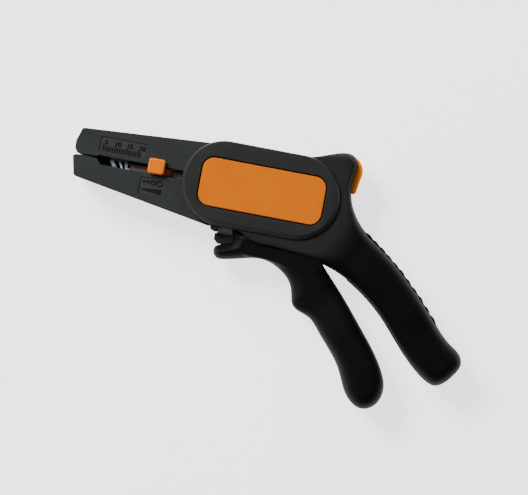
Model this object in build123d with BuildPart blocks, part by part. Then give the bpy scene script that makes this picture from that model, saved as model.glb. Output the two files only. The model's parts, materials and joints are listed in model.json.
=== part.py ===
from build123d import *
import math
import os

# Self-adjusting wire stripper, lying flat on its right-hand cover.
# Lengths are millimetres. The layout frame has its origin at the middle of the orange
# panel: x runs from the jaw tips to the rear, y to the tool's top edge, z out of its left side.
# level() and across() place it so that the finished tool stands on z = 0, centred in x and y.

BOX_MIDDLE_X = 7.95          # middle of the whole tool in the layout frame
BOX_MIDDLE_Y = -30.6
HALF_DEPTH = 11.0            # from the mid-plane to a cover's outer face

# Depths from the mid-plane, from the outside in
SHELL_OUT = 9.0              # outer face of a housing shell
SHELL_IN = 7.4               # inner face of a housing shell
JAW_OUT = 7.4                # outer face of a jaw's cheeks
JAW_IN = 5.2                 # inner face of a jaw's cheeks
PAD_OUT = 4.6                # half width of the mouth
LOWER_OUT = 7.3              # outer face of the lower jaw's cheeks, which pass between the shells
TRIGGER_OUT = 7.0            # trigger between the shells
TRIGGER_IN = 4.2             # inner faces of the trigger's fork
BOSS_FACE = 7.2              # bosses beside the trigger's fork
HANDLE_OUT = 8.6             # trigger below the housing

# Cover and panel
COVER_CENTRES = 32.0
COVER_MIDDLE = (-0.3, 0.1)
FACE_CENTRES = 31.5          # the flat face inside the cover's sloping rim
FACE_MIDDLE = (-0.45, 0.85)
COVER_RADIUS = 18.1
COVER_FACE_RADIUS = 17.15
COVER_STEP = 9.7             # top of the cover's straight edge
PANEL = (53.4, 20.7)
PANEL_MIDDLE = (0.3, -0.15)
PANEL_RADIUS = 5.0
PANEL_FACE = 10.7
POCKET_FLOOR = 9.6
GROOVE = 0.5

# Pivots and strokes
TRIGGER_PIVOT = (26.0, 10.0)
TRIGGER_PIN_R = 2.5
LEVER_PIVOT = (26.0, -12.3)
LEVER_PIN_R = 1.5
DRIVE_PIN = (26.0, -8.0)
SMALL_PIN_R = 1.15
BAR_Y = -0.3
BAR_PIN = (26.0, BAR_Y)
JAW_PIVOT = (-17.5, -5.8)
JAW_PIN_R = 1.6
CATCH_PIVOT = (36.2, 17.6)
CATCH_PIN_R = 1.0
PIN_END = 8.4                # half length of the long pins
CATCH_PIN_END = 7.6
UPPER_JAW_PIN = (-20.0, 9.0)
CUTTER_PINS = [(-12.8, -14.0), (-5.2, -14.0)]
CUTTER_PIN_R = 1.2
CUTTER_PIN_END = 7.9
RUNNING = 0.05               # radial clearance of a turning fit
SLIDE_FIT = 0.4

# Grip
RIDGES = 11
RIDGE_FIRST = 47.4
RIDGE_PITCH = 3.35
RIDGE_R = 4.5
RIDGE_HEIGHT = 0.65
RIDGE_DEPTH = 6.4            # how far the ridges reach from the mid-plane
GRIP_ROUND = 2.4             # round-over of the grip's rim
SCREW_R = 1.5
SCREW_HEAD = 2.0             # depth of a screw's head
SCREW_TIP = 5.5
SCREWS = [(-6.0, 12.0), (38.5, -13.5), (60.0, -28.5), (88.5, -57.0)]

# Openings and lugs of the shells
POST_R = 3.0                 # screw posts
SCREW_HEAD_R = 2.7
HEAD_PLAY = 0.1              # room round a screw's head
SCREW_SUNK = 0.3             # a screw's head below the shell's face
SOCKET_R = 1.3               # hexagon socket in a screw's head
SOCKET_DEPTH = 1.1
CATCH_LUG = 5.3              # the catch's lugs start at this depth
CATCH_SLOT = 5.1             # half width of the slot for the catch
SLIT_HALF = 1.2              # half width of the slit for the cutter's blade
LUG_INSET = 1.0              # the lug before the cutter stands this far inside the shell's face

# Jaws
UPPER_EDGE = 1.2             # the upper jaw's closing edge
LOWER_EDGE = 0.85            # the lower jaw's closing edge
EDGE_R = 0.35                # round-over of the jaws' outer edges
RECESS = 0.4                 # depth of the two marked recesses
LIP = (4.3, 4.9)             # depths of the lip behind the parting line
LIP_REAR = -34.4
TONGUE = (5.6, 6.6)          # depths of the tongue at the nose
TONGUE_PLAY = 0.3
COVERED = -34.2              # the lower jaw's edge is under the cover from here
LOWER_REAR = -22.6           # rear end of the lower jaw's channel
CUT_BACK = 0.1               # how far the cheeks' cut-backs overlap their faces
EAR_R = 3.4
LOWER_EAR = (3.4, 4.9)       # depths of the lower jaw's ears
EAR_BLOCK = (3.4, 6.0)       # depths of the blocks that join them to its cheeks
PAD_ENDS = (-80.2, -72.6)    # ends of the clamp pads
RIBS = 5                     # ribs on a clamp pad
RIB_FIRST = -79.6
RIB_PITCH = 1.4
RIB_WIDTH = 0.9

# Pull bar, carriage and blades
BAR_HALF = 2.6               # half thickness of the flat part of the bar
COLLAR_FRONT = -13.6
COLLAR_R = 3.1
ROD_R = 1.3
ROD_REAR = 20.5
FORK_HALF = 3.6              # half width of the bar's fork
FORK_GAP = 1.9               # half width of the gap in it
SPRING_FRONT = -12.0
SPRING_REAR = 4.0
SEAT_REAR = 6.5
CARRIAGE = (-66.6, -57.4)    # front and rear of the carriage
CARRIAGE_OUT = 4.0
CARRIAGE_IN = 3.4
BLADE_OUT = 3.2
BLADE_LEAN = 0.54            # forward lean of the blades per millimetre of height
BLADE_FRONT = -62.6          # where their front faces cross the parting line
BLADE_THICK = 0.8
LEVER_HALF = 1.5
COIL_END = 0.55              # from a spring's seat to the middle of its end turn

# Cutter
CUTTER_HALF = 0.9            # half thickness of the cutter's blade
GROUND_TOP = -20.3           # its ground faces start here
GROUND_EDGE = 0.25           # half thickness left at the edge
GUARD_HALF = 3.4

# Length stop and catch
KNOB = (7.1, 6.5)
KNOB_MIDDLE = (-45.85, 1.85)
KNOB_BASE = 7.7
KNOB_FACE = 10.2
CATCH_HALF = 4.8

HERE = (-BOX_MIDDLE_X, -BOX_MIDDLE_Y, HALF_DEPTH)

os.makedirs("parts", exist_ok=True)


def level(depth):
    """Plane parallel to the rest face, at a depth from the mid-plane."""
    return Plane((HERE[0], HERE[1], HERE[2] + depth))


def across(x, y=0.0):
    """Plane square to the jaws at x, looking to the rear: its x is the layout y."""
    return Plane(origin=(HERE[0] + x, HERE[1] + y, HERE[2]), x_dir=(0, 1, 0), z_dir=(1, 0, 0))


def rise(flat, low, high, mode=Mode.ADD):
    """Extrude a sketch drawn at level(low) up to level(high)."""
    extrude(flat.sketch, amount=high - low, mode=mode)


def polygon(low, high, points, mode=Mode.ADD, radius=0.0):
    """A flat plate with straight sides between two depths."""
    with BuildSketch(level(low)) as flat:
        with BuildLine():
            Polyline(*points, close=True)
        make_face()
        if radius > 0:
            fillet(flat.vertices(), radius)
    rise(flat, low, high, mode)


def disc(low, high, centre, radius, mode=Mode.ADD):
    """A round boss, pin or hole square to the rest face."""
    with BuildSketch(level(low)) as flat:
        with Locations(centre):
            Circle(radius)
    rise(flat, low, high, mode)


def slot(low, high, start, end, radius, mode=Mode.ADD):
    """A round-ended bar or hole between two points."""
    middle = ((start[0] + end[0]) / 2, (start[1] + end[1]) / 2)
    run = math.hypot(end[0] - start[0], end[1] - start[1])
    turn = math.degrees(math.atan2(end[1] - start[1], end[0] - start[0]))
    with BuildSketch(level(low)) as flat:
        with Locations(Location((middle[0], middle[1], 0), (0, 0, turn))):
            SlotCenterToCenter(run, 2 * radius)
    rise(flat, low, high, mode)


def save(piece, name):
    """Label a finished piece and write it."""
    piece.label = name
    export_step(piece, f"parts/{name}.step")


# ---------------------------------------------------------------- housing and grip
# The grip is one smooth outline; its back carries a row of small ridges.
TOP_RISE = [(16.0, 18.0), (24.5, 20.2), (30.4, 22.3), (33.3, 22.8), (38.0, 20.9)]
CATCH_EDGE = [(38.0, 20.9), (39.1, 17.8), (38.0, 12.5), (38.0, 6.2)]
GRIP = [
    (38.0, 6.2), (40.8, -1.4), (47.4, -9.2), (56.6, -15.8), (65.5, -23.0), (75.3, -32.4), (84.0, -42.0),
    (91.8, -49.6), (96.4, -53.1), (98.0, -57.4), (96.0, -61.9), (91.0, -67.3), (88.4, -68.3), (84.6, -67.2),
    (79.0, -63.3), (70.4, -54.9), (59.9, -43.3), (48.9, -34.4), (40.2, -29.4), (31.8, -26.4),
]
SKIRT = [(31.8, -26.4), (19.1, -23.5), (8.4, -22.5), (0.3, -21.8), (-5.0, -19.3), (-8.3, -18.5)]
FRONT_CENTRE = (-16.0, 0.4)
FRONT_RADIUS = 17.3


def housing_outline():
    """The housing and its grip in plan, without the ridges."""
    with BuildLine() as outline:
        Line((FRONT_CENTRE[0], 17.7), TOP_RISE[0])
        Spline(*TOP_RISE)
        Spline(*CATCH_EDGE)
        Spline(*GRIP)
        Spline(*SKIRT)
        Line(SKIRT[-1], (-19.4, -18.3))
        Line((-19.4, -18.3), (FRONT_CENTRE[0] - 3.4, FRONT_CENTRE[1] - 16.96))
        ThreePointArc(
            (FRONT_CENTRE[0] - 3.4, FRONT_CENTRE[1] - 16.96),
            (FRONT_CENTRE[0] - FRONT_RADIUS, FRONT_CENTRE[1]),
            (FRONT_CENTRE[0], 17.7),
        )
    make_face(outline.edges())


def back_point(x):
    """Centre of the ridge at x, one ridge radius inside the grip's back, bar its height."""
    k = max(n for n in range(6) if GRIP[n][0] <= x)
    (x0, y0), (x1, y1) = GRIP[k], GRIP[k + 1]
    run = math.hypot(x1 - x0, y1 - y0)
    inward = ((y1 - y0) / run, -(x1 - x0) / run)
    sink = RIDGE_R - RIDGE_HEIGHT
    y = y0 + (x - x0) * (y1 - y0) / (x1 - x0)
    return (x + inward[0] * sink, y + inward[1] * sink)


def housing(side):
    """One shell, solid, on the left (+1) or the right (-1) of the mid-plane."""
    low = 0 if side > 0 else -SHELL_OUT
    with BuildSketch(level(low)) as flat:
        housing_outline()
    rise(flat, low, low + SHELL_OUT)
    outer = faces().sort_by(Axis.Z)[-1 if side > 0 else 0]
    fillet(outer.edges().filter_by_position(Axis.X, HERE[0] + 30, HERE[0] + 99), GRIP_ROUND)
    # thumb ridges along the back of the grip
    for k in range(RIDGES):
        x = RIDGE_FIRST + (k + 0.5) * RIDGE_PITCH
        spot = back_point(x)
        start = 0 if side > 0 else -RIDGE_DEPTH
        disc(start, start + RIDGE_DEPTH, spot, RIDGE_R)
    # guard lug in front of the cutter
    polygon(
        low + (0 if side > 0 else LUG_INSET),
        low + SHELL_OUT - (LUG_INSET if side > 0 else 0),
        [(-19.2, -18.0), (-18.6, -20.3), (-16.4, -20.9), (-15.5, -20.6), (-14.2, -18.0)],
    )


def hollow(side):
    """Empty the shell and open it where the jaws, the trigger and the catch move."""
    low = 0 if side > 0 else -SHELL_IN
    high = low + SHELL_IN
    cavity = [
        (-40, -16.4), (-40, 16.3), (18, 16.3), (28, 19.2), (33, 20.2), (36.0, 18.0), (35.6, 4.0),
        (39.5, -4.4), (46.5, -12.0), (64.0, -25.6), (82.0, -43.8), (89.0, -50.5), (94.0, -56.0),
        (88.0, -64.6), (80.5, -61.4), (72.0, -53.0), (61.4, -41.2), (49.4, -31.6), (38.0, -25.4),
        (33.0, -32.0), (-11.2, -32.0), (-11.2, -16.4),
    ]
    polygon(low, high, cavity, Mode.SUBTRACT)
    polygon(low, high, [(30.0, -20.0), (44.0, -20.0), (42.6, -34.0), (28.0, -34.0)], Mode.SUBTRACT)
    # room for the jaws in front of the bottom wall
    polygon(low, high, [(-40, -22), (-17.5, -22), (-17.5, -10), (-40, -10)], Mode.SUBTRACT)
    # slit for the cutter blade in the bottom wall
    slit_low = 0 if side > 0 else -SLIT_HALF
    slit = [(-16.6, -22), (-11, -22), (-11, -16), (-16.6, -16)]
    polygon(slit_low, slit_low + SLIT_HALF, slit, Mode.SUBTRACT)
    # slot for the catch in the rear wall
    start = 0 if side > 0 else -CATCH_SLOT
    polygon(start, start + CATCH_SLOT, [(33.4, 5.0), (43, 5.0), (43, 24), (33.4, 24)], Mode.SUBTRACT)


def bosses(side):
    """Screw posts, pin bosses and the holes in them."""
    low = 0 if side > 0 else -SHELL_IN
    for centre in SCREWS:
        disc(low, low + SHELL_IN, centre, POST_R)
    disc(BOSS_FACE if side > 0 else -SHELL_IN, SHELL_IN if side > 0 else -BOSS_FACE, TRIGGER_PIVOT, 5.0)
    disc(CATCH_LUG if side > 0 else -SHELL_IN, SHELL_IN if side > 0 else -CATCH_LUG, CATCH_PIVOT, 2.4)
    disc(-PIN_END, PIN_END, TRIGGER_PIVOT, TRIGGER_PIN_R, Mode.SUBTRACT)
    disc(-PIN_END, PIN_END, LEVER_PIVOT, LEVER_PIN_R, Mode.SUBTRACT)
    disc(-PIN_END, PIN_END, JAW_PIVOT, JAW_PIN_R, Mode.SUBTRACT)
    disc(-PIN_END, PIN_END, UPPER_JAW_PIN, JAW_PIN_R, Mode.SUBTRACT)
    disc(-CATCH_PIN_END, CATCH_PIN_END, CATCH_PIVOT, CATCH_PIN_R, Mode.SUBTRACT)
    for centre in CUTTER_PINS:
        disc(-CUTTER_PIN_END, CUTTER_PIN_END, centre, CUTTER_PIN_R, Mode.SUBTRACT)
    for centre in SCREWS:
        disc(-SHELL_OUT, SCREW_TIP, centre, SCREW_R, Mode.SUBTRACT)
        disc(-SHELL_OUT, -SHELL_OUT + SCREW_HEAD, centre, SCREW_HEAD_R + HEAD_PLAY, Mode.SUBTRACT)


with BuildPart() as left_housing:
    housing(+1)
    hollow(+1)
    bosses(+1)
save(left_housing.part, "left_housing")

with BuildPart() as right_housing:
    housing(-1)
    hollow(-1)
    bosses(-1)
save(right_housing.part, "right_housing")

# ---------------------------------------------------------------- covers and panels


def cover(side):
    """A round-ended plate with a sloping rim and a pocket for the panel."""
    edge = SHELL_OUT * side
    step = COVER_STEP * side
    with BuildSketch(level(edge)) as base:
        with Locations(COVER_MIDDLE):
            SlotCenterToCenter(COVER_CENTRES, 2 * COVER_RADIUS)
    extrude(base.sketch, amount=step - edge)
    with BuildSketch(level(step)) as shoulder:
        with Locations(COVER_MIDDLE):
            SlotCenterToCenter(COVER_CENTRES, 2 * COVER_RADIUS)
    with BuildSketch(level(HALF_DEPTH * side)) as face:
        with Locations(FACE_MIDDLE):
            SlotCenterToCenter(FACE_CENTRES, 2 * COVER_FACE_RADIUS)
    loft([shoulder.sketch, face.sketch])
    with BuildSketch(level(POCKET_FLOOR * side)) as pocket:
        with Locations(PANEL_MIDDLE):
            RectangleRounded(PANEL[0] + 2 * GROOVE, PANEL[1] + 2 * GROOVE, PANEL_RADIUS + GROOVE)
    extrude(pocket.sketch, amount=2 * side, mode=Mode.SUBTRACT)


def panel(side):
    """The coloured plate in the cover's pocket."""
    with BuildSketch(level(POCKET_FLOOR * side)) as flat:
        with Locations(PANEL_MIDDLE):
            RectangleRounded(PANEL[0], PANEL[1], PANEL_RADIUS)
    extrude(flat.sketch, amount=(PANEL_FACE - POCKET_FLOOR) * side)


with BuildPart() as left_cover:
    cover(+1)
save(left_cover.part, "left_cover")

with BuildPart() as right_cover:
    cover(-1)
save(right_cover.part, "right_cover")

with BuildPart() as left_panel:
    panel(+1)
    chamfer(left_panel.faces().sort_by(Axis.Z)[-1].edges(), 0.25)
save(left_panel.part, "left_panel")

with BuildPart() as right_panel:
    panel(-1)
    chamfer(right_panel.faces().sort_by(Axis.Z)[0].edges(), 0.25)
save(right_panel.part, "right_panel")

# ---------------------------------------------------------------- jaws

with BuildPart() as upper_jaw:
    polygon(
        -JAW_OUT, JAW_OUT,
        [
            (-80.3, 1.2), (-81.7, 3.4), (-81.8, 6.6), (-80.0, 12.2), (-79.0, 12.45), (-24.0, 16.2),
            (-14.0, 16.2), (-11.5, 12.0), (-11.5, 4.4), (-21.0, UPPER_EDGE), (-72.0, UPPER_EDGE),
        ],
    )
    fillet(upper_jaw.edges().filter_by(Axis.Z).sort_by(Axis.X)[0:3], 1.2)
    fillet(upper_jaw.faces().filter_by(Axis.Z).edges(), EDGE_R)
    # channel, open at the bottom and to the rear
    polygon(
        -JAW_IN, JAW_IN,
        [(-72.4, 0.0), (-72.4, 10.8), (-24.0, 14.0), (-10.0, 14.0), (-10.0, 0.0)],
        Mode.SUBTRACT,
    )
    # wire mouth, with a seat for the clamp pad above it
    polygon(-PAD_OUT, PAD_OUT, [(-84, 0), (-84, 5.4), (-72, 5.4), (-72, 0)], Mode.SUBTRACT)
    # the left cheek is cut back for the length stop
    polygon(
        JAW_IN - CUT_BACK, JAW_OUT + CUT_BACK,
        [(-71.6, 0.0), (-72.4, 1.2), (-71.2, 2.2), (-34.0, 2.2), (-20.0, 2.2), (-20.0, 0.0)],
        Mode.SUBTRACT,
    )
    # groove for the lower jaw's tongue
    polygon(
        -TONGUE[1] - TONGUE_PLAY, -TONGUE[0] + TONGUE_PLAY,
        [(-84.0, 1.0), (-84.0, 2.3), (-70.5, 2.3), (-70.5, 1.0)],
        Mode.SUBTRACT,
    )
    # scale recess on the left cheek
    polygon(
        JAW_OUT - RECESS, JAW_OUT,
        [(-71.5, 4.0), (-51.3, 4.0), (-51.3, 10.4), (-71.5, 10.4)],
        Mode.SUBTRACT, 0.6,
    )
    # ears round the jaw pivot
    for low, high in ((JAW_IN, JAW_OUT), (-JAW_OUT, -JAW_IN)):
        polygon(low, high, [(-22.0, 3.0), (-20.6, -5.8), (-14.4, -5.8), (-12.0, 5.0)])
        disc(low, high, JAW_PIVOT, EAR_R)
    disc(-JAW_OUT, JAW_OUT, JAW_PIVOT, JAW_PIN_R, Mode.SUBTRACT)
    disc(-JAW_OUT, JAW_OUT, UPPER_JAW_PIN, JAW_PIN_R, Mode.SUBTRACT)
save(upper_jaw.part, "upper_jaw")

with BuildPart() as lower_jaw:
    polygon(
        -LOWER_OUT, LOWER_OUT,
        [
            (-80.6, LOWER_EDGE), (-82.1, 0.2), (-80.3, -8.0), (-79.2, -8.65), (-19.5, -18.95),
            (-19.2, -17.9), (-21.4, -13.0), (-25.2, -8.0), (-25.2, -1.7), (COVERED, -1.7),
            (COVERED, LOWER_EDGE),
        ],
    )
    front_corners = lower_jaw.edges().filter_by(Axis.Z).sort_by(Axis.X)
    fillet(front_corners[0:4], 0.8)
    fillet(lower_jaw.faces().filter_by(Axis.Z).edges(), EDGE_R)
    # channel, open at the top and to the rear
    polygon(
        -JAW_IN, JAW_IN,
        [(-72.4, 2.0), (-72.4, -7.9), (LOWER_REAR, -16.5), (-20.0, -16.5), (-20.0, 2.0)],
        Mode.SUBTRACT,
    )
    polygon(-PAD_OUT, PAD_OUT, [(-84, 2.0), (-84, -3.6), (-72, -3.6), (-72, 2.0)], Mode.SUBTRACT)
    # the left cheek is cut back for the length stop
    polygon(
        JAW_IN - CUT_BACK, JAW_OUT + CUT_BACK,
        [(-71.6, 2.0), (-71.6, 0.4), (-69.9, -1.7), (-20.0, -1.7), (-20.0, 2.0)],
        Mode.SUBTRACT,
    )
    # a lip behind the right-hand parting line keeps chips out
    polygon(-JAW_IN - 0.2, -LIP[0], [(-71.8, -2.4), (-71.8, 0.5), (LIP_REAR, 0.5), (LIP_REAR, -2.4)])
    polygon(-LIP[1], -LIP[0], [(-71.8, -2.4), (-71.8, 2.6), (LIP_REAR, 2.6), (LIP_REAR, -2.4)])
    # recess for the wire size marks
    polygon(
        LOWER_OUT - RECESS, LOWER_OUT, [(-51.8, -3.4), (-41.2, -3.4), (-41.2, -10.9), (-51.8, -10.9)],
        Mode.SUBTRACT, 0.4,
    )
    # a tongue across the gap between the jaws, on the right of the mouth
    polygon(-TONGUE[1], -TONGUE[0], [(-79.4, 0.4), (-79.4, 1.9), (-71.0, 1.9), (-71.0, 0.4)])
    # inner ears on the pivot, joined to the cheeks by a block
    for low, high in (LOWER_EAR, (-LOWER_EAR[1], -LOWER_EAR[0])):
        polygon(low, high, [(-33.0, -2.6), (-33.0, -8.6), (-18.0, -9.2), (-14.2, -5.8), (-17.5, -2.4)])
        disc(low, high, JAW_PIVOT, EAR_R)
        disc(low, high, JAW_PIVOT, JAW_PIN_R + RUNNING, Mode.SUBTRACT)
    for low, high in (EAR_BLOCK, (-EAR_BLOCK[1], -EAR_BLOCK[0])):
        polygon(low, high, [(-33.0, -2.6), (-33.0, -8.6), (-26.0, -8.8), (-26.0, -2.6)])
save(lower_jaw.part, "lower_jaw")


def clamp_pad(back, root, tip):
    """A hardened insert from back to root, with cross ribs up to tip that grip the wire's insulation."""
    front, rear = PAD_ENDS
    polygon(-PAD_OUT, PAD_OUT, [(front, root), (front, back), (rear, back), (rear, root)])
    for k in range(RIBS):
        x = RIB_FIRST + RIB_PITCH * k
        polygon(-PAD_OUT, PAD_OUT, [(x, root), (x + RIB_WIDTH / 2, tip), (x + RIB_WIDTH, root)])


with BuildPart() as upper_clamp_pad:
    clamp_pad(5.4, 3.9, 3.45)
save(upper_clamp_pad.part, "upper_clamp_pad")

with BuildPart() as lower_clamp_pad:
    clamp_pad(-3.6, -2.1, -1.65)
save(lower_clamp_pad.part, "lower_clamp_pad")

# ---------------------------------------------------------------- pull bar, carriage and blades

with BuildPart() as pull_bar:
    flat_bar = [(CARRIAGE[1], -1.6), (CARRIAGE[1], 1.0), (COLLAR_FRONT, 1.0), (COLLAR_FRONT, -1.6)]
    polygon(-BAR_HALF, BAR_HALF, flat_bar)
    with BuildSketch(across(COLLAR_FRONT, BAR_Y)):
        Circle(COLLAR_R)
    extrude(amount=SPRING_FRONT - COLLAR_FRONT)
    with BuildSketch(across(SPRING_FRONT, BAR_Y)):
        Circle(ROD_R)
    extrude(amount=ROD_REAR - SPRING_FRONT)
    slot(-FORK_HALF, FORK_HALF, (21.4, BAR_Y), BAR_PIN, 2.4)
    polygon(-FORK_GAP, FORK_GAP, [(20.6, -6), (20.6, 6), (30, 6), (30, -6)], Mode.SUBTRACT)
    disc(-FORK_HALF, FORK_HALF, BAR_PIN, SMALL_PIN_R, Mode.SUBTRACT)
save(pull_bar.part, "pull_bar")

with BuildPart() as pull_bar_pin:
    disc(-FORK_HALF, FORK_HALF, BAR_PIN, SMALL_PIN_R)
save(pull_bar_pin.part, "pull_bar_pin")

with BuildPart() as blade_carriage:
    for low, high in ((CARRIAGE_IN, CARRIAGE_OUT), (-CARRIAGE_OUT, -CARRIAGE_IN)):
        polygon(
            low, high,
            [(CARRIAGE[0], 1.4), (CARRIAGE[0], 7.6), (-59.8, 7.6), (-58.8, 2.2), (-58.2, -1.2),
             (CARRIAGE[1], -1.4), (CARRIAGE[1], -7.4), (-62.5, -7.4), (-64.0, -2.6)],
        )
        polygon(low, high, [(-64.9, 1.3), (-59.9, 1.3), (-59.3, -1.7), (-62.8, -1.7)], Mode.SUBTRACT)
    # the stop's arm slides through the left plate
    polygon(CARRIAGE_IN, CARRIAGE_OUT, [(-68, 0.95), (-56, 0.95), (-56, 2.25), (-68, 2.25)], Mode.SUBTRACT)
    rear_block = [(-59.2, -7.4), (CARRIAGE[1], -7.4), (CARRIAGE[1], -1.2), (-59.2, -1.2)]
    polygon(-CARRIAGE_OUT, CARRIAGE_OUT, rear_block)
    front_bridge = [(CARRIAGE[0], 6.4), (CARRIAGE[0], 7.6), (-64.9, 7.6), (-64.9, 6.4)]
    polygon(-CARRIAGE_OUT, CARRIAGE_OUT, front_bridge)
save(blade_carriage.part, "blade_carriage")


def leaning_plate(low_y, high_y):
    """A blade that leans forward as it rises, drawn from the side."""
    foot = BLADE_FRONT - BLADE_LEAN * (low_y - UPPER_EDGE)
    head = BLADE_FRONT - BLADE_LEAN * (high_y - UPPER_EDGE)
    return [(foot, low_y), (head, high_y), (head + BLADE_THICK, high_y), (foot + BLADE_THICK, low_y)]


with BuildPart() as lower_blade:
    polygon(-BLADE_OUT, BLADE_OUT, leaning_plate(-3.2, 1.1))
    with BuildSketch(across(-70.0)):
        with BuildLine():
            Polyline((2.0, -2.4), (2.0, 2.4), (-0.6, 0.9), (-0.6, -0.9), close=True)
        make_face()
    extrude(amount=12.0, mode=Mode.SUBTRACT)
save(lower_blade.part, "lower_blade")

with BuildPart() as upper_blade:
    polygon(-BLADE_OUT, BLADE_OUT, leaning_plate(2.6, 6.0))
save(upper_blade.part, "upper_blade")

with BuildPart() as spring_seat:
    with BuildSketch(level(-SHELL_IN)):
        with Locations(((SPRING_REAR + SEAT_REAR) / 2, 0.4)):
            Rectangle(SEAT_REAR - SPRING_REAR, 12.0)
    extrude(amount=2 * SHELL_IN)
    with BuildSketch(across(SPRING_REAR - 1, BAR_Y)):
        Circle(ROD_R + SLIDE_FIT)
    extrude(amount=SEAT_REAR - SPRING_REAR + 2, mode=Mode.SUBTRACT)
save(spring_seat.part, "spring_seat")


def coil(start_plane, turns, length, radius, wire):
    """A helical spring along the plane's normal, with its wire swept along it."""
    axis = start_plane.z_dir
    with BuildLine() as centreline:
        path = Helix(length / turns, length, radius, center=start_plane.origin, direction=axis)
    with BuildSketch(Plane(origin=path @ 0, z_dir=path % 0)) as section:
        Circle(wire)
    sweep(section.sketch, path=centreline.line, is_frenet=True)


with BuildPart() as return_spring:
    coil(across(SPRING_FRONT + COIL_END, BAR_Y), 6, SPRING_REAR - SPRING_FRONT - 2 * COIL_END, 2.55, 0.42)
save(return_spring.part, "return_spring")

with BuildPart() as jaw_spring:
    coil(
        Plane(origin=(HERE[0] + JAW_PIVOT[0], HERE[1] + JAW_PIVOT[1], HERE[2] - 2.3), z_dir=(0, 0, 1)),
        4, 4.6, 2.3, 0.4,
    )
save(jaw_spring.part, "jaw_spring")

# ---------------------------------------------------------------- trigger and lever
# Front of the trigger from the notch round the nose, the finger hollow and the toe to the crotch
TRIGGER_EDGE = [
    (-13.3, -25.9), (-15.6, -27.9), (-14.4, -31.3), (-9.0, -31.5), (-2.8, -30.0), (2.5, -28.8), (8.2, -29.1),
    (14.6, -32.1), (18.7, -35.9), (20.6, -40.4), (22.4, -46.0), (29.7, -49.4), (35.0, -54.6), (41.0, -61.4),
    (46.7, -69.2), (50.8, -77.6), (54.4, -81.8), (59.0, -83.8), (63.8, -82.2), (66.7, -78.0), (67.3, -73.0),
    (65.0, -66.4), (53.8, -50.9), (42.8, -38.0), (31.8, -26.4),
]

with BuildPart() as trigger:
    with BuildSketch(level(-HANDLE_OUT)):
        with BuildLine():
            Spline(*TRIGGER_EDGE)
            Polyline(
                (31.8, -26.4), (30.6, -20.0), (31.4, 10.0), (26.0, 15.4), (20.0, 10.0), (19.0, -6.0),
                (10.0, -16.0), (-9.4, -18.2), (-8.3, -21.8), (-8.9, -23.7), (-13.3, -25.9),
            )
        make_face()
    extrude(amount=2 * HANDLE_OUT)
    # thinner above the handle, so that it swings inside the housing
    for low, high in ((TRIGGER_OUT, HANDLE_OUT), (-HANDLE_OUT, -TRIGGER_OUT)):
        polygon(low, high, [(-30.0, -87.6), (60.0, -19.6), (60.0, 30.0), (-30.0, 30.0)], Mode.SUBTRACT)
    # the fork round the mechanism and round the cutter
    polygon(
        -TRIGGER_IN, TRIGGER_IN,
        [(-20, -27.2), (-12.0, -27.2), (-6.5, -25.6), (-1.0, -23.0), (30.0, -23.0), (40.0, -20.0),
         (40.0, 20.0), (-20.0, 20.0)],
        Mode.SUBTRACT,
    )
    disc(-TRIGGER_OUT, TRIGGER_OUT, TRIGGER_PIVOT, TRIGGER_PIN_R + RUNNING, Mode.SUBTRACT)
    slot(-TRIGGER_OUT, TRIGGER_OUT, (22.8, -12.6), (26.4, -12.3), 2.1, Mode.SUBTRACT)
    disc(-TRIGGER_OUT, TRIGGER_OUT, DRIVE_PIN, SMALL_PIN_R, Mode.SUBTRACT)
save(trigger.part, "trigger")

with BuildPart() as trigger_pin:
    disc(-PIN_END, PIN_END, TRIGGER_PIVOT, TRIGGER_PIN_R)
save(trigger_pin.part, "trigger_pin")

with BuildPart() as drive_pin:
    disc(-TRIGGER_OUT + 0.2, TRIGGER_OUT - 0.2, DRIVE_PIN, SMALL_PIN_R)
save(drive_pin.part, "drive_pin")

with BuildPart() as pull_lever:
    slot(-LEVER_HALF, LEVER_HALF, LEVER_PIVOT, (26.0, 1.2), 3.1)
    disc(-LEVER_HALF, LEVER_HALF, LEVER_PIVOT, LEVER_PIN_R + RUNNING, Mode.SUBTRACT)
    slot(-LEVER_HALF, LEVER_HALF, (26.0, -8.05), (26.0, -7.5), SMALL_PIN_R + 0.35, Mode.SUBTRACT)
    slot(-LEVER_HALF, LEVER_HALF, (26.0, BAR_Y - 0.1), (26.0, 1.4), SMALL_PIN_R + 0.45, Mode.SUBTRACT)
save(pull_lever.part, "pull_lever")

with BuildPart() as lever_pin:
    disc(-PIN_END, PIN_END, LEVER_PIVOT, LEVER_PIN_R)
save(lever_pin.part, "lever_pin")

with BuildPart() as jaw_pivot_pin:
    disc(-PIN_END, PIN_END, JAW_PIVOT, JAW_PIN_R)
save(jaw_pivot_pin.part, "jaw_pivot_pin")

with BuildPart() as upper_jaw_pin:
    disc(-PIN_END, PIN_END, UPPER_JAW_PIN, JAW_PIN_R)
save(upper_jaw_pin.part, "upper_jaw_pin")

# ---------------------------------------------------------------- cutter

with BuildPart() as cutter_blade:
    polygon(
        -CUTTER_HALF, CUTTER_HALF,
        [(-16.0, -21.9), (-14.6, -19.0), (-15.6, -12.0), (-3.0, -12.0), (-3.0, -18.0), (-7.6, -21.9)],
    )
    # ground on both sides towards its lower edge
    with BuildSketch(across(-20.0)):
        for side in (+1, -1):
            with BuildLine():
                Polyline(
                    (-22.4, GROUND_EDGE * side), (GROUND_TOP, CUTTER_HALF * side), (GROUND_TOP, 1.4 * side),
                    (-22.4, 1.4 * side), close=True,
                )
            make_face()
    extrude(amount=20.0, mode=Mode.SUBTRACT)
    for centre in CUTTER_PINS:
        disc(-CUTTER_HALF, CUTTER_HALF, centre, CUTTER_PIN_R, Mode.SUBTRACT)
save(cutter_blade.part, "cutter_blade")

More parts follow.
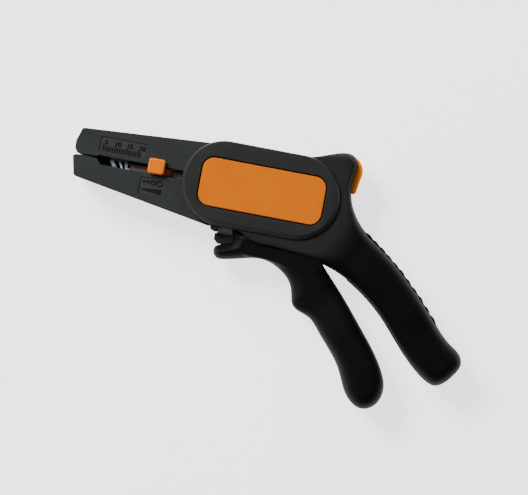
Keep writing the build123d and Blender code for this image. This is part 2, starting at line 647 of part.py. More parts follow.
with BuildPart() as cutter_guard:
    polygon(
        -GUARD_HALF, GUARD_HALF,
        [(-16.3, -21.3), (-16.3, -24.0), (-14.6, -25.6), (-12.8, -25.7), (-8.8, -24.2), (-3.6, -21.0),
         (-2.0, -12.0), (-7.4, -12.0), (-7.6, -21.3)],
    )
    polygon(
        -CUTTER_HALF, CUTTER_HALF, [(-18, -21.9), (0, -21.9), (0, -10), (-18, -10)], Mode.SUBTRACT
    )
    disc(-GUARD_HALF, GUARD_HALF, CUTTER_PINS[1], CUTTER_PIN_R, Mode.SUBTRACT)
save(cutter_guard.part, "cutter_guard")

with BuildPart() as cutter_pins:
    for centre in CUTTER_PINS:
        disc(-CUTTER_PIN_END, CUTTER_PIN_END, centre, CUTTER_PIN_R)
save(cutter_pins.part, "cutter_pins")

# ---------------------------------------------------------------- length stop, catch and screws

with BuildPart() as length_stop:
    with BuildSketch(level(KNOB_BASE)):
        with Locations(KNOB_MIDDLE):
            RectangleRounded(KNOB[0], KNOB[1], 1.2)
    extrude(amount=KNOB_FACE - KNOB_BASE)
    chamfer(length_stop.faces().sort_by(Axis.Z)[-1].edges(), 0.5)
    polygon(4.9, KNOB_BASE, [(-48.0, -0.4), (-48.0, 1.9), (-44.4, 1.9), (-44.4, -0.4)])
    polygon(4.1, 4.9, [(-48.0, -1.2), (-48.0, 1.9), (-39.6, 1.9), (-39.6, -1.2)])
    polygon(3.5, 4.9, [(-48.0, 1.3), (-48.0, 1.9), (-37.5, 1.9), (-37.5, 1.3)])
    polygon(-BLADE_OUT, 3.5, [(-38.5, 1.3), (-38.5, 1.9), (-37.5, 1.9), (-37.5, 1.3)])
    polygon(-BLADE_OUT, BLADE_OUT - 0.1, [(-38.5, 1.3), (-38.5, 6.0), (-37.5, 6.0), (-37.5, 1.3)])
save(length_stop.part, "length_stop")

with BuildPart() as release_catch:
    with BuildSketch(level(-CATCH_HALF)):
        with BuildLine():
            Spline((37.6, 21.3), (39.9, 19.2), (41.1, 16.4), (40.8, 12.6), (40.2, 8.9), (40.0, 6.9))
            Polyline(
                (40.0, 6.9), (39.2, 6.1), (36.8, 6.1), (36.7, 12.5), (36.4, 15.0), (34.6, 15.6),
                (34.3, 18.8), (35.4, 20.4), (37.6, 21.3),
            )
        make_face()
    extrude(amount=2 * CATCH_HALF)
    disc(-CATCH_HALF, CATCH_HALF, CATCH_PIVOT, CATCH_PIN_R + RUNNING, Mode.SUBTRACT)
save(release_catch.part, "release_catch")

with BuildPart() as catch_pin:
    disc(-CATCH_PIN_END, CATCH_PIN_END, CATCH_PIVOT, CATCH_PIN_R)
save(catch_pin.part, "catch_pin")

with BuildPart() as housing_screws:
    for centre in SCREWS:
        disc(-SHELL_OUT + SCREW_SUNK, -SHELL_OUT + SCREW_HEAD, centre, SCREW_HEAD_R)
        disc(-SHELL_OUT + SCREW_HEAD, SCREW_TIP, centre, SCREW_R)
        with BuildSketch(level(-SHELL_OUT + SCREW_SUNK)):
            with Locations(centre):
                RegularPolygon(SOCKET_R, 6)
        extrude(amount=SOCKET_DEPTH, mode=Mode.SUBTRACT)
save(housing_screws.part, "housing_screws")
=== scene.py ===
import json
import math

import bmesh
import bpy
import numpy as np
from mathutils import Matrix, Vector


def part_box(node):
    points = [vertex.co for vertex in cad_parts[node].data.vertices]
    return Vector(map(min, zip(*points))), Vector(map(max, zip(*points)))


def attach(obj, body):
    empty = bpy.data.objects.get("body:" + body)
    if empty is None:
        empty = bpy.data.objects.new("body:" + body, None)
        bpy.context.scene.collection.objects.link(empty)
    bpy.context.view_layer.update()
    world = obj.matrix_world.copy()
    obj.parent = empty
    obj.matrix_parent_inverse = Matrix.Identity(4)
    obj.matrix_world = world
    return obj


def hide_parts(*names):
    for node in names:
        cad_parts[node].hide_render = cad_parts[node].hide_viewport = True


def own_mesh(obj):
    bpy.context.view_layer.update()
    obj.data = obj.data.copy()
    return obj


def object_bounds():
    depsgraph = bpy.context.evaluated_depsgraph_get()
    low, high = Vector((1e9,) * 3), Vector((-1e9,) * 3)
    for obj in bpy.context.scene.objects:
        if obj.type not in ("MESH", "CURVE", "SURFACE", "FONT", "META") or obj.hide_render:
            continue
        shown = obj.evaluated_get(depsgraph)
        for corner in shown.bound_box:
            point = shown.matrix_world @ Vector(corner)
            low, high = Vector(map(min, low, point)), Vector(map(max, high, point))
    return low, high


# Wire stripper lying on its right cover. Metres throughout; mm() turns the layout's
# millimetres, measured from the middle of the left panel, into places in the frame.

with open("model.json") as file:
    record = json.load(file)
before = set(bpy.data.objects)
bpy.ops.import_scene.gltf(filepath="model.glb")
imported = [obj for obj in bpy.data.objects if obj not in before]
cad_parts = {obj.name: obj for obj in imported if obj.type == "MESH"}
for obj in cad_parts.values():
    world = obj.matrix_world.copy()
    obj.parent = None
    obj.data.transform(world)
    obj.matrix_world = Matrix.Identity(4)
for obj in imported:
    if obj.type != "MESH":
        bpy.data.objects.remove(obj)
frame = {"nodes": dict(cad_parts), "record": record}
cad_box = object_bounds()

MM = 0.001
PANEL_LOW, PANEL_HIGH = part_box("left_panel")
PANEL_OFFSET = Vector((0.3, -0.15)) * MM       # the panel's middle in the layout
MIDDLE_Z = (cad_box[0][2] + cad_box[1][2]) / 2
ORIGIN = Vector((
    (PANEL_LOW.x + PANEL_HIGH.x) / 2 - PANEL_OFFSET.x,
    (PANEL_LOW.y + PANEL_HIGH.y) / 2 - PANEL_OFFSET.y,
    MIDDLE_Z,
))
JAW_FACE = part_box("upper_jaw")[1].z - MIDDLE_Z  # the cheeks' outer faces from the mid-plane
LOWER_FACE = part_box("lower_jaw")[1].z - MIDDLE_Z

# Camera, floor and light
VIEW_TURN = math.radians(10.75)
VIEW_MIDDLE = (5.57, -23.58)    # in layout millimetres
VIEW_WIDTH = 227.0 * MM
CAMERA_HEIGHT = 1.1
SENSOR = 36.0
FLOOR_SIZE = 6.0
FLOOR_GAP = 0.0002              # the floor lies this far below the tool
FLOOR_GLOW = 2.2
LIGHT_TARGET = (0, 0, 0.01)
SKY_STRENGTH = 1.5
HORIZON = 0.75
ZENITH = 0.12
SKY_HEIGHTS = (0.05, 0.75)      # sines of the heights at which the sky has those two shades
BRIGHT_SIDE = (-0.7, 0.7, 0.0)  # the sky is brighter on this side
SIDE_SHARES = (0.2, 1.4)        # the shades' shares on the dark and the bright side
SKY_TURN = 0.5                  # half width of the band in which dark turns to bright
KEY_POWER = 19.0
KEY_PLACE = (-0.7, 0.55, 0.75)
KEY_SIZE = 0.5
FILL_SHARE = 0.04
FILL_PLACE = (0.9, -0.6, 0.8)
FILL_SIZE = 0.8

# Colours and textures
BODY_DARK = (0.0036, 0.0035, 0.0038)
BODY_PALE = (0.0048, 0.0046, 0.005)
BODY_HEAD = (0.0205, 0.021, 0.021)
HEAD_MIDDLE = (2.0, 2.0, 5.0)   # the body takes its paler shade round this place,
HEAD_REACH = (33.0, 46.0)       # out to these distances
DRIFT_SCALE = 55.0
SCRATCH_SCALE = 900.0

# Meshes; depths are from the mid-plane and widths in layout millimetres unless scaled by MM
VOXEL = 0.5 * MM   # grid of the remeshed shells and trigger
WELD = 0.002 * MM
FLAT_ANGLE = math.radians(1.0)  # faces this close to one plane are joined
SHARP_ANGLE = math.radians(50)
BEVEL_ANGLE = math.radians(35)
COVER_LINE = ((-16.3, 0.1), (15.7, 0.1))
COVER_REACH = 18.1
GRIP_START = (0.5, 16.0)        # the grip's round grows over these distances from the cover
SHELL_DEPTH = 9.0
HANDLE_DEPTH = 8.6
TRIGGER_DEPTH = 7.0
SHELL_SECTION = 7.8             # depths at which the outlines are taken
TRIGGER_SECTION = 6.0
GRIP_ROUND = 6.4
TRIGGER_ROUND = 5.8
EDGE_ROUND = 0.7
STEP_LINE = ((24.0, -46.8), (39.6, -35.0))   # where the trigger's handle starts
STEP_BLUR = 1.2                 # half width of that step after remeshing
STEP_RUN = 20.0                 # the handle reaches its full depth over this distance
STEP_REACH = 3.5                # the step is evened out this far to each side,
STEP_FLOOR = 4.8                # in the faces above this height
STEP_INSET = 0.8                # and away from the rim
STEP_ROUNDS = 40
NOSE_OPEN = (2.0, -6.0)         # the trigger's rim turns from square to round over these x
HANDLE_OPEN = (-27.0, -31.0)    # and over these y
HOUSING_SMOOTHING = 2
TRIGGER_SMOOTHING = 6
COVER_EDGE = 0.3 * MM           # widths of rounded-over edges
PANEL_EDGE = 0.22 * MM
STOP_EDGE = 0.33 * MM
CATCH_EDGE = 0.7 * MM
GUARD_EDGE = 0.6 * MM

# Marks
RECESS = 0.4 * MM
MARK_HEIGHT = 0.3 * MM
SUNK = 0.05 * MM                # how far marks reach into the recess's floor
FLOOR_SKIN = 0.02 * MM          # and how far the added floor stands above it
TICKS = 17
TICK_HALF = 0.17
TICK_TOPS = (6.4, 7.2)          # a plain tick and every fifth one
SCALE_START = -69.9
SCALE_BASE = 4.4
SCALE_DIGITS = {"5": -68.9, "10": -63.9, "15": -58.8, "20": -53.3}
DIGIT_BASE = 7.25
DIGIT_SIZE = 2.75 * MM
DIGIT_SWELL = 0.03 * MM         # the digits' strokes are thickened by this
RING_ROW = -5.2
RING_WALL = 0.38
RINGS = ((-50.1, 0.6), (-48.3, 0.8), (-46.1, 1.05), (-43.4, 1.3))   # place and outer radius
WEDGE = ((-50.4, -8.9), (-42.2, -9.9), (-42.2, -7.5), (-50.4, -8.5))
SCALE_FLOOR = ((-71.3, 4.2), (-51.5, 4.2), (-51.5, 10.2), (-71.3, 10.2))
MARKS_FLOOR = ((-51.6, -10.7), (-41.4, -10.7), (-41.4, -3.6), (-51.6, -3.6))


def mm(x, y, z=0.0):
    """A place in the frame from layout millimetres."""
    return ORIGIN + Vector((x, y, z)) * MM


# ---------------------------------------------------------------- camera, floor and light
def add_camera():
    data = bpy.data.cameras.new("camera")
    data.sensor_fit = "HORIZONTAL"
    data.sensor_width = SENSOR
    data.lens = SENSOR * CAMERA_HEIGHT / VIEW_WIDTH
    data.clip_end = 10.0
    camera = bpy.data.objects.new("camera", data)
    camera.location = mm(*VIEW_MIDDLE) + Vector((0, 0, CAMERA_HEIGHT))
    camera.rotation_euler = (0, 0, VIEW_TURN)
    bpy.context.scene.collection.objects.link(camera)
    bpy.context.scene.camera = camera


def add_floor():
    bpy.ops.mesh.primitive_plane_add(size=FLOOR_SIZE, location=(0, 0, -FLOOR_GAP))
    floor = bpy.context.object
    floor.name = "floor"
    floor.data.materials.append(floor_material())


def add_area(name, place, size, power):
    data = bpy.data.lights.new(name, "AREA")
    data.shape = "DISK"
    data.size = size
    data.energy = power
    light = bpy.data.objects.new(name, data)
    light.location = place
    aim = Vector(LIGHT_TARGET) - Vector(place)
    light.rotation_euler = aim.to_track_quat("-Z", "Y").to_euler()
    bpy.context.scene.collection.objects.link(light)


def add_lights():
    world = bpy.data.worlds.new("studio")
    bpy.context.scene.world = world
    world.use_nodes = True
    nodes, links = world.node_tree.nodes, world.node_tree.links
    place = nodes.new("ShaderNodeTexCoord")
    height = nodes.new("ShaderNodeSeparateXYZ")
    links.new(place.outputs["Generated"], height.inputs["Vector"])
    ramp = nodes.new("ShaderNodeValToRGB")
    ramp.color_ramp.elements[0].position = SKY_HEIGHTS[0]
    ramp.color_ramp.elements[0].color = (HORIZON, HORIZON, HORIZON, 1.0)
    ramp.color_ramp.elements[1].position = SKY_HEIGHTS[1]
    ramp.color_ramp.elements[1].color = (ZENITH, ZENITH, ZENITH, 1.0)
    links.new(height.outputs["Z"], ramp.inputs["Fac"])
    toward = nodes.new("ShaderNodeVectorMath")
    toward.operation = "DOT_PRODUCT"
    links.new(place.outputs["Generated"], toward.inputs[0])
    toward.inputs[1].default_value = BRIGHT_SIDE
    share = nodes.new("ShaderNodeMapRange")
    share.inputs["From Min"].default_value = -SKY_TURN
    share.inputs["From Max"].default_value = SKY_TURN
    share.inputs["To Min"].default_value = SIDE_SHARES[0]
    share.inputs["To Max"].default_value = SIDE_SHARES[1]
    links.new(toward.outputs["Value"], share.inputs["Value"])
    sided = nodes.new("ShaderNodeVectorMath")
    sided.operation = "SCALE"
    links.new(ramp.outputs["Color"], sided.inputs[0])
    links.new(share.outputs["Result"], sided.inputs["Scale"])
    links.new(sided.outputs["Vector"], nodes["Background"].inputs["Color"])
    nodes["Background"].inputs["Strength"].default_value = SKY_STRENGTH
    add_area("key", KEY_PLACE, KEY_SIZE, KEY_POWER)
    add_area("fill", FILL_PLACE, FILL_SIZE, FILL_SHARE * KEY_POWER)


# ---------------------------------------------------------------- materials
def new_material(name):
    material = bpy.data.materials.new(name)
    material.use_nodes = True
    return material, material.node_tree.nodes, material.node_tree.links


def noise_node(nodes, links, scale, detail=4.0, rough=0.55, stretch=None):
    """A noise texture in object space, stretched along one axis if asked."""
    place = nodes.new("ShaderNodeTexCoord")
    noise = nodes.new("ShaderNodeTexNoise")
    noise.inputs["Scale"].default_value = scale
    noise.inputs["Detail"].default_value = detail
    noise.inputs["Roughness"].default_value = rough
    if stretch:
        mapping = nodes.new("ShaderNodeMapping")
        mapping.inputs["Scale"].default_value = stretch
        links.new(place.outputs["Object"], mapping.inputs["Vector"])
        links.new(mapping.outputs["Vector"], noise.inputs["Vector"])
    else:
        links.new(place.outputs["Object"], noise.inputs["Vector"])
    return noise


def ramp_between(nodes, links, source, low, high, start=0.35, stop=0.65):
    """A colour ramp from low to high driven by a texture's factor."""
    ramp = nodes.new("ShaderNodeValToRGB")
    ramp.color_ramp.elements[0].position = start
    ramp.color_ramp.elements[0].color = (*low, 1.0)
    ramp.color_ramp.elements[1].position = stop
    ramp.color_ramp.elements[1].color = (*high, 1.0)
    links.new(source, ramp.inputs["Fac"])
    return ramp


def range_between(nodes, links, source, low, high):
    """A number between low and high driven by a texture's factor."""
    span = nodes.new("ShaderNodeMapRange")
    span.inputs["From Min"].default_value = 0.3
    span.inputs["From Max"].default_value = 0.7
    span.inputs["To Min"].default_value = low
    span.inputs["To Max"].default_value = high
    links.new(source, span.inputs["Value"])
    return span


def bump_from(nodes, links, source, distance, strength=1.0):
    bump = nodes.new("ShaderNodeBump")
    bump.inputs["Distance"].default_value = distance
    bump.inputs["Strength"].default_value = strength
    links.new(source, bump.inputs["Height"])
    return bump


def head_share(nodes, links):
    """One round the covers, falling to nought down the grip."""
    place = nodes.new("ShaderNodeTexCoord")
    away = nodes.new("ShaderNodeVectorMath")
    away.operation = "DISTANCE"
    links.new(place.outputs["Object"], away.inputs[0])
    away.inputs[1].default_value = mm(*HEAD_MIDDLE)
    share = nodes.new("ShaderNodeMapRange")
    share.interpolation_type = "SMOOTHSTEP"
    share.inputs["From Min"].default_value = HEAD_REACH[0] * MM
    share.inputs["From Max"].default_value = HEAD_REACH[1] * MM
    share.inputs["To Min"].default_value = 1.0
    share.inputs["To Max"].default_value = 0.0
    links.new(away.outputs["Value"], share.inputs["Value"])
    return share.outputs["Result"]


def mixed(nodes, links, share, first, second):
    """A colour between two others; each is a socket or a plain colour."""
    mix = nodes.new("ShaderNodeMix")
    mix.data_type = "RGBA"
    links.new(share, mix.inputs["Factor"])
    for name, colour in (("A", first), ("B", second)):
        if isinstance(colour, tuple):
            mix.inputs[name].default_value = (*colour, 1.0)
        else:
            links.new(colour, mix.inputs[name])
    return mix.outputs["Result"]


def plastic(name, low, high, rough, grain, grain_depth, shine, head=None):
    """Moulded plastic: slow colour drift, a fine grain and, if asked, a paler head."""
    material, nodes, links = new_material(name)
    shader = nodes["Principled BSDF"]
    drift = noise_node(nodes, links, DRIFT_SCALE, 3.0)
    colour = ramp_between(nodes, links, drift.outputs["Fac"], low, high)
    fine = noise_node(nodes, links, grain, 3.0, 0.6)
    gloss = range_between(nodes, links, drift.outputs["Fac"], rough[0], rough[1])
    links.new(gloss.outputs["Result"], shader.inputs["Roughness"])
    tint = colour.outputs["Color"]
    if head:
        tint = mixed(nodes, links, head_share(nodes, links), tint, head)
    links.new(tint, shader.inputs["Base Color"])
    bump = bump_from(nodes, links, fine.outputs["Fac"], grain_depth)
    links.new(bump.outputs["Normal"], shader.inputs["Normal"])
    shader.inputs["Specular IOR Level"].default_value = shine
    return material


def metal(name, low, high, rough, stretch, scratch_depth, metallic):
    """Ground metal: fine scratches along one axis in colour, gloss and relief."""
    material, nodes, links = new_material(name)
    shader = nodes["Principled BSDF"]
    shader.inputs["Metallic"].default_value = metallic
    scratches = noise_node(nodes, links, SCRATCH_SCALE, 6.0, 0.7, stretch)
    colour = ramp_between(nodes, links, scratches.outputs["Fac"], low, high)
    links.new(colour.outputs["Color"], shader.inputs["Base Color"])
    gloss = range_between(nodes, links, scratches.outputs["Fac"], rough[0], rough[1])
    links.new(gloss.outputs["Result"], shader.inputs["Roughness"])
    bump = bump_from(nodes, links, scratches.outputs["Fac"], scratch_depth)
    links.new(bump.outputs["Normal"], shader.inputs["Normal"])
    return material


def floor_material():
    material, nodes, links = new_material("floor_white")
    shader = nodes["Principled BSDF"]
    drift = noise_node(nodes, links, 4.0, 2.0)
    colour = ramp_between(nodes, links, drift.outputs["Fac"], (0.9, 0.9, 0.9), (0.93, 0.93, 0.93))
    links.new(colour.outputs["Color"], shader.inputs["Base Color"])
    shader.inputs["Roughness"].default_value = 0.9
    links.new(colour.outputs["Color"], shader.inputs["Emission Color"])
    shader.inputs["Emission Strength"].default_value = FLOOR_GLOW
    return material


# Look: low and high colour, roughness range, grain scale, grain depth, shine, paler head
PLASTICS = {
    "body_plastic": (BODY_DARK, BODY_PALE, (0.5, 0.6), 2600.0, 0.000018, 0.05, BODY_HEAD),
    "trigger_plastic": (BODY_DARK, BODY_PALE, (0.5, 0.6), 2600.0, 0.000018, 0.07),
    "cover_plastic": (
        (0.0165, 0.0172, 0.0168), (0.0205, 0.0213, 0.0206), (0.48, 0.58), 2600.0, 0.000016, 0.2
    ),
    "jaw_plastic": (
        (0.0195, 0.0222, 0.023), (0.0245, 0.0277, 0.0285), (0.55, 0.68), 3200.0, 0.00002, 0.2
    ),
    "mark_plastic": (
        (0.0075, 0.008, 0.0083), (0.01, 0.0105, 0.0108), (0.5, 0.6), 3200.0, 0.00001, 0.08
    ),
    "orange_plastic": (
        (0.68, 0.152, 0.0), (0.73, 0.168, 0.0), (0.42, 0.52), 2400.0, 0.00001, 0.02
    ),
    # the catch's orange is paler than the panel's: painted light that lifts the catch out of the
    # shade it lies in
    "catch_plastic_painted_light": (
        (0.9, 0.22, 0.0), (0.95, 0.24, 0.0), (0.42, 0.52), 2400.0, 0.00001, 0.02
    ),
    "knob_plastic": (
        (0.8, 0.172, 0.0), (0.85, 0.186, 0.0), (0.42, 0.52), 2400.0, 0.00001, 0.02
    ),
    "recess_plastic": (
        (0.034, 0.0335, 0.034), (0.041, 0.04, 0.0405), (0.6, 0.7), 3200.0, 0.00001, 0.1
    ),
    "guard_plastic": (
        (0.012, 0.0125, 0.013), (0.016, 0.0165, 0.017), (0.5, 0.62), 2600.0, 0.000018, 0.2
    ),
}
# Look: low and high colour, roughness range, scratch stretch, scratch depth, metallic
METALS = {
    "steel": (
        (0.28, 0.28, 0.28), (0.42, 0.415, 0.41), (0.3, 0.45), (1.0, 1.0, 0.06), 0.00002, 1.0
    ),
    "plated_steel": (
        (0.16, 0.125, 0.125), (0.27, 0.22, 0.215), (0.35, 0.55), (0.05, 1.0, 1.0), 0.00002, 1.0
    ),
    "carriage_steel": (
        (0.2, 0.22, 0.27), (0.4, 0.44, 0.53), (0.4, 0.6), (0.3, 1.0, 1.0), 0.00003, 0.7
    ),
    # the blade's steel is near white and hardly metallic: painted light that lifts the blade out of
    # the shade it lies in
    "blade_steel": (
        (0.88, 0.78, 0.58), (1.0, 0.95, 0.8), (0.35, 0.5), (0.03, 1.0, 1.0), 0.00004, 0.1
    ),
    "bright_steel": (
        (0.75, 0.69, 0.55), (0.95, 0.9, 0.74), (0.4, 0.5), (1.0, 1.0, 0.2), 0.00002, 0.3
    ),
    "spring_steel": (
        (0.3, 0.3, 0.31), (0.5, 0.5, 0.52), (0.25, 0.4), (1.0, 1.0, 1.0), 0.00002, 1.0
    ),
}
MATERIALS = {name: plastic(name, *row) for name, row in PLASTICS.items()}
MATERIALS.update({name: metal(name, *row) for name, row in METALS.items()})
SLOT_OF = {row["node"]: row["material_slot"] for row in frame["record"]["subparts"]}
BODIES = frame["record"]["behaviour"]["bodies"]
BODY_OF = {node: body for body, nodes in BODIES.items() for node in nodes}
LOOK_OF = {
    "left_cover": "cover_plastic",
    "right_cover": "cover_plastic",
    "trigger": "trigger_plastic",
    "release_catch": "catch_plastic_painted_light",
    "length_stop": "knob_plastic",
    "blade_carriage": "carriage_steel",
    "lower_blade": "bright_steel",
    "upper_blade": "bright_steel",
}


def material_of(node):
    return MATERIALS[LOOK_OF.get(node, SLOT_OF[node])]


def dress_cad_nodes():
    """Every CAD node gets its procedural material."""
    for node, obj in frame["nodes"].items():
        obj.data.materials.clear()
        obj.data.materials.append(material_of(node))


# ---------------------------------------------------------------- meshes
def add_piece(name, mesh, body, slot, look=None):
    """A finished mesh as a piece that rides on a body."""
    obj = bpy.data.objects.new(name, mesh)
    bpy.context.scene.collection.objects.link(obj)
    mesh.materials.clear()
    mesh.materials.append(MATERIALS[look or slot])
    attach(obj, body)
    return obj


def stand_for(name, mesh, node):
    """A finished mesh in place of a CAD node."""
    obj = add_piece(name, mesh, BODY_OF[node], SLOT_OF[node], LOOK_OF.get(node))
    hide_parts(node)
    return obj


def apply_modifiers(mesh, *settings):
    """A new mesh with modifiers applied; settings are (type, {attribute: value})."""
    scratch = bpy.data.objects.new("scratch", mesh)
    bpy.context.scene.collection.objects.link(scratch)
    for kind, values in settings:
        modifier = scratch.modifiers.new(kind.lower(), kind)
        for key, value in values.items():
            setattr(modifier, key, value)
    shaped = scratch.evaluated_get(bpy.context.evaluated_depsgraph_get())
    result = bpy.data.meshes.new_from_object(shaped)
    bpy.data.objects.remove(scratch)
    return result


def welded_copy(node):
    """A CAD node's mesh with its doubled vertices joined and its flat faces whole."""
    mesh = frame["nodes"][node].data.copy()
    work = bmesh.new()
    work.from_mesh(mesh)
    bmesh.ops.remove_doubles(work, verts=work.verts, dist=WELD)
    bmesh.ops.dissolve_limit(work, angle_limit=FLAT_ANGLE, verts=work.verts, edges=work.edges)
    work.to_mesh(mesh)
    work.free()
    return mesh


def flat_faced(mesh):
    """The mesh shaded smooth with its flat faces kept flat."""
    mesh.polygons.foreach_set("use_smooth", [True] * len(mesh.polygons))
    mesh.set_sharp_from_angle(angle=SHARP_ANGLE)
    settings = {"mode": "FACE_AREA", "weight": 100, "keep_sharp": True}
    return apply_modifiers(mesh, ("WEIGHTED_NORMAL", settings))


def softened(node, width, segments=3):
    """The node with every crisp edge rounded over."""
    mesh = apply_modifiers(
        welded_copy(node),
        ("BEVEL", {"width": width, "segments": segments, "limit_method": "ANGLE",
                   "angle_limit": BEVEL_ANGLE, "miter_outer": "MITER_ARC"}),
    )
    return stand_for(node + "_moulding", flat_faced(mesh), node)


def smooth_faced(node):
    """The node as made, with its flat faces shaded flat and its rounds smooth."""
    return stand_for(node + "_moulding", flat_faced(welded_copy(node)), node)


def smoothstep(low, high, value):
    share = np.clip((value - low) / (high - low), 0.0, 1.0)
    return share * share * (3 - 2 * share)


def section(node, height):
    """Start and end points, in layout millimetres, of the node's section at a height."""
    work = bmesh.new()
    work.from_mesh(frame["nodes"][node].data)
    cut = bmesh.ops.bisect_plane(
        work, geom=work.verts[:] + work.edges[:] + work.faces[:],
        plane_co=mm(0, 0, height), plane_no=(0, 0, 1), clear_inner=True, clear_outer=True,
    )
    edges = [e for e in cut["geom_cut"] if isinstance(e, bmesh.types.BMEdge)]
    ends = np.array([[(v.co - ORIGIN)[:2] for v in e.verts] for e in edges]) / MM
    work.free()
    return ends[:, 0], ends[:, 1]


def inside_distance(spots, starts, ends):
    """Distance in plan from each spot to the section's edge, nought outside it."""
    best = np.full(len(spots), 1e9)
    crossings = np.zeros(len(spots), int)
    x, y = spots[:, 0], spots[:, 1]
    for a, b in zip(starts, ends):
        run = b - a
        share = np.clip(((spots - a) @ run) / max(run @ run, 1e-12), 0, 1)
        gap = spots - (a + share[:, None] * run)
        best = np.minimum(best, np.einsum("ij,ij->i", gap, gap))
        if a[1] != b[1]:
            crossings += ((a[1] > y) != (b[1] > y)) & (x < a[0] + (y - a[1]) * run[0] / run[1])
    return np.where(crossings % 2 == 1, np.sqrt(best), 0.0)


def line_distance(spots, start, end):
    """Distance in plan from each spot to a straight line between two points."""
    start, end = np.array(start), np.array(end)
    run = end - start
    share = np.clip(((spots - start) @ run) / (run @ run), 0, 1)
    return np.linalg.norm(spots - (start + share[:, None] * run), axis=1)


def rounded_share(distance, radius, half_depth):
    """Height left at a distance from the edge, as a share of the half depth."""
    inset = np.clip(distance / radius, 0.0, 1.0)
    rise = np.sqrt(np.clip(1 - (1 - inset) ** 2, 0, 1))
    return (half_depth - radius + radius * rise) / half_depth


def fine_grid(node, voxel, smoothing):
    """A CAD node remeshed to an even fine grid, with its small steps softened."""
    return apply_modifiers(
        welded_copy(node),
        ("REMESH", {"mode": "VOXEL", "voxel_size": voxel, "use_smooth_shade": True}),
        ("SMOOTH", {"factor": 0.5, "iterations": smoothing}),
    )


def to_layout(mesh):
    """Vertex places in layout millimetres."""
    co = np.zeros(len(mesh.vertices) * 3)
    mesh.vertices.foreach_get("co", co)
    return (co.reshape(-1, 3) - np.array(ORIGIN)) / MM


def from_layout(mesh, places):
    mesh.vertices.foreach_set("co", (places * MM + np.array(ORIGIN)).ravel())
    mesh.update()


def add_housing(node):
    """A shell whose grip swells to a full round, flat where the cover sits."""
    mesh = fine_grid(node, VOXEL, HOUSING_SMOOTHING)
    p = to_layout(mesh)
    side = 1 if node.startswith("left") else -1
    beyond = line_distance(p[:, :2], *COVER_LINE) - COVER_REACH
    radius = EDGE_ROUND + (GRIP_ROUND - EDGE_ROUND) * smoothstep(*GRIP_START, beyond)
    inset = inside_distance(p[:, :2], *section(node, side * SHELL_SECTION))
    p[:, 2] *= rounded_share(inset, radius, SHELL_DEPTH)
    from_layout(mesh, p)
    return stand_for(node + "_moulding", mesh, node)


def level_out(mesh, places, zone, rounds):
    """Even out the heights of a zone's points by averaging over their neighbours."""
    ends = np.zeros(len(mesh.edges) * 2, int)
    mesh.edges.foreach_get("vertices", ends)
    first, second = ends.reshape(-1, 2).T
    count = np.bincount(ends, minlength=len(places))
    for _ in range(rounds):
        height = places[:, 2]
        total = np.bincount(first, height[second], len(places))
        total += np.bincount(second, height[first], len(places))
        places[zone, 2] = (total / count)[zone]


def add_trigger():
    """The trigger, thickening smoothly from the fork to a rounded handle."""
    mesh = fine_grid("trigger", VOXEL, TRIGGER_SMOOTHING)
    p = to_layout(mesh)
    step_start, step_end = np.array(STEP_LINE[0]), np.array(STEP_LINE[1])
    along = (step_end - step_start) / np.linalg.norm(step_end - step_start)
    outward = np.array((along[1], -along[0]))
    below = (p[:, :2] - step_start) @ outward
    thick = TRIGGER_DEPTH + (HANDLE_DEPTH - TRIGGER_DEPTH) * smoothstep(0.0, STEP_RUN, below)
    made = TRIGGER_DEPTH + (HANDLE_DEPTH - TRIGGER_DEPTH) * smoothstep(-STEP_BLUR, STEP_BLUR, below)
    # the rim is round on the handle and the nose, and nearly square under the skirt
    open_share = smoothstep(*HANDLE_OPEN, p[:, 1]) + smoothstep(*NOSE_OPEN, p[:, 0])
    radius = EDGE_ROUND + (TRIGGER_ROUND - EDGE_ROUND) * np.clip(open_share, 0, 1)
    inset = inside_distance(p[:, :2], *section("trigger", TRIGGER_SECTION))
    p[:, 2] *= thick / made * rounded_share(inset, radius, TRIGGER_DEPTH)
    step = (np.abs(below) < STEP_REACH) & (inset > STEP_INSET) & (np.abs(p[:, 2]) > STEP_FLOOR)
    level_out(mesh, p, step, STEP_ROUNDS)
    from_layout(mesh, p)
    return stand_for("trigger_moulding", mesh, "trigger")


def add_return_spring():
    """The coil, shaded smooth, in place of its CAD node."""
    mesh = frame["nodes"]["return_spring"].data.copy()
    coil = stand_for("return_spring_coil", mesh, "return_spring")
    coil.data.polygons.foreach_set("use_smooth", [True] * len(coil.data.polygons))
    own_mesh(coil)


# ---------------------------------------------------------------- scale and size marks
def prism(work, corners, low, high):
    """Add an upright prism over layout corners, between two heights from the mid-plane."""
    rings = []
    for height in (low, high):
        rings.append([work.verts.new(mm(x, y) + Vector((0, 0, height))) for x, y in corners])
    count = len(corners)
    for k in range(count):
        n = (k + 1) % count
        work.faces.new((rings[0][k], rings[0][n], rings[1][n], rings[1][k]))
    work.faces.new(list(reversed(rings[0])))
    work.faces.new(rings[1])


def ring(work, centre, outer, inner, low, high, count=24):
    """Add a raised ring over a layout centre."""
    loops = []
    for radius, height in ((outer, low), (outer, high), (inner, high), (inner, low)):
        loops.append([
            work.verts.new(
                mm(
                    centre[0] + radius * math.cos(2 * math.pi * k / count),
                    centre[1] + radius * math.sin(2 * math.pi * k / count),
                )
                + Vector((0, 0, height))
            )
            for k in range(count)
        ])
    for a in range(4):
        first, second = loops[a], loops[(a + 1) % 4]
        for k in range(count):
            n = (k + 1) % count
            work.faces.new((first[k], first[n], second[n], second[k]))


def mesh_from(work, name):
    bmesh.ops.recalc_face_normals(work, faces=work.faces)
    mesh = bpy.data.meshes.new(name)
    work.to_mesh(mesh)
    work.free()
    return mesh


def add_recess_floor(name, corners, floor, body):
    """A matt floor in a jaw's recess, so that the marks stand out."""
    work = bmesh.new()
    prism(work, corners, floor - SUNK, floor + FLOOR_SKIN)
    add_piece(name, mesh_from(work, name), body, "jaw_plastic", "recess_plastic")


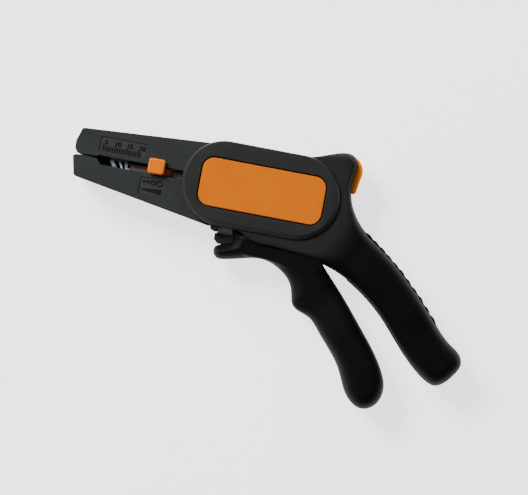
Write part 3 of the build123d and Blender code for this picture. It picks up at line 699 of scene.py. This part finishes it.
def add_scale():
    """Raised millimetre ticks and plain numbers in the upper jaw's recess."""
    low = JAW_FACE - RECESS - SUNK
    high = JAW_FACE - RECESS + MARK_HEIGHT
    add_recess_floor("scale_floor", SCALE_FLOOR, JAW_FACE - RECESS, "housing")
    work = bmesh.new()
    for k in range(TICKS):
        left, right = SCALE_START + k - TICK_HALF, SCALE_START + k + TICK_HALF
        top = TICK_TOPS[k % 5 == 0]
        corners = [(left, SCALE_BASE), (right, SCALE_BASE), (right, top), (left, top)]
        prism(work, corners, low, high)
    ticks = mesh_from(work, "scale_ticks")
    add_piece("scale_ticks", ticks, "housing", "jaw_plastic", "mark_plastic")
    for text, x in SCALE_DIGITS.items():
        data = bpy.data.curves.new("number_" + text, "FONT")
        data.body = text
        data.size = DIGIT_SIZE
        data.align_x = "CENTER"
        data.extrude = (high - low) / 2
        data.offset = DIGIT_SWELL
        label = bpy.data.objects.new("number_" + text, data)
        label.location = mm(x, DIGIT_BASE) + Vector((0, 0, (low + high) / 2))
        bpy.context.scene.collection.objects.link(label)
        bpy.context.view_layer.update()
        shaped = label.evaluated_get(bpy.context.evaluated_depsgraph_get())
        mesh = bpy.data.meshes.new_from_object(shaped)
        mesh.transform(label.matrix_world)
        bpy.data.objects.remove(label)
        add_piece("scale_number_" + text, mesh, "housing", "jaw_plastic", "mark_plastic")


def add_size_marks():
    """Rings of growing size over a widening wedge: which wires the jaw takes."""
    low = LOWER_FACE - RECESS - SUNK
    high = LOWER_FACE - RECESS + MARK_HEIGHT
    add_recess_floor("marks_floor", MARKS_FLOOR, LOWER_FACE - RECESS, "lower_jaw")
    work = bmesh.new()
    for x, radius in RINGS:
        ring(work, (x, RING_ROW), radius, radius - RING_WALL, low, high)
    prism(work, WEDGE, low, high)
    marks = mesh_from(work, "size_marks")
    add_piece("size_marks", marks, "lower_jaw", "jaw_plastic", "mark_plastic")


# ---------------------------------------------------------------- assembly
add_camera()
add_floor()
add_lights()
dress_cad_nodes()
for shell in ("left_housing", "right_housing"):
    add_housing(shell)
add_trigger()
for jaw in ("upper_jaw", "lower_jaw"):
    smooth_faced(jaw)
for plate in ("left_cover", "right_cover"):
    softened(plate, COVER_EDGE)
for small in ("left_panel", "right_panel"):
    softened(small, PANEL_EDGE)
softened("length_stop", STOP_EDGE, 4)
softened("release_catch", CATCH_EDGE, 5)
softened("cutter_guard", GUARD_EDGE, 4)
add_return_spring()
add_scale()
add_size_marks()
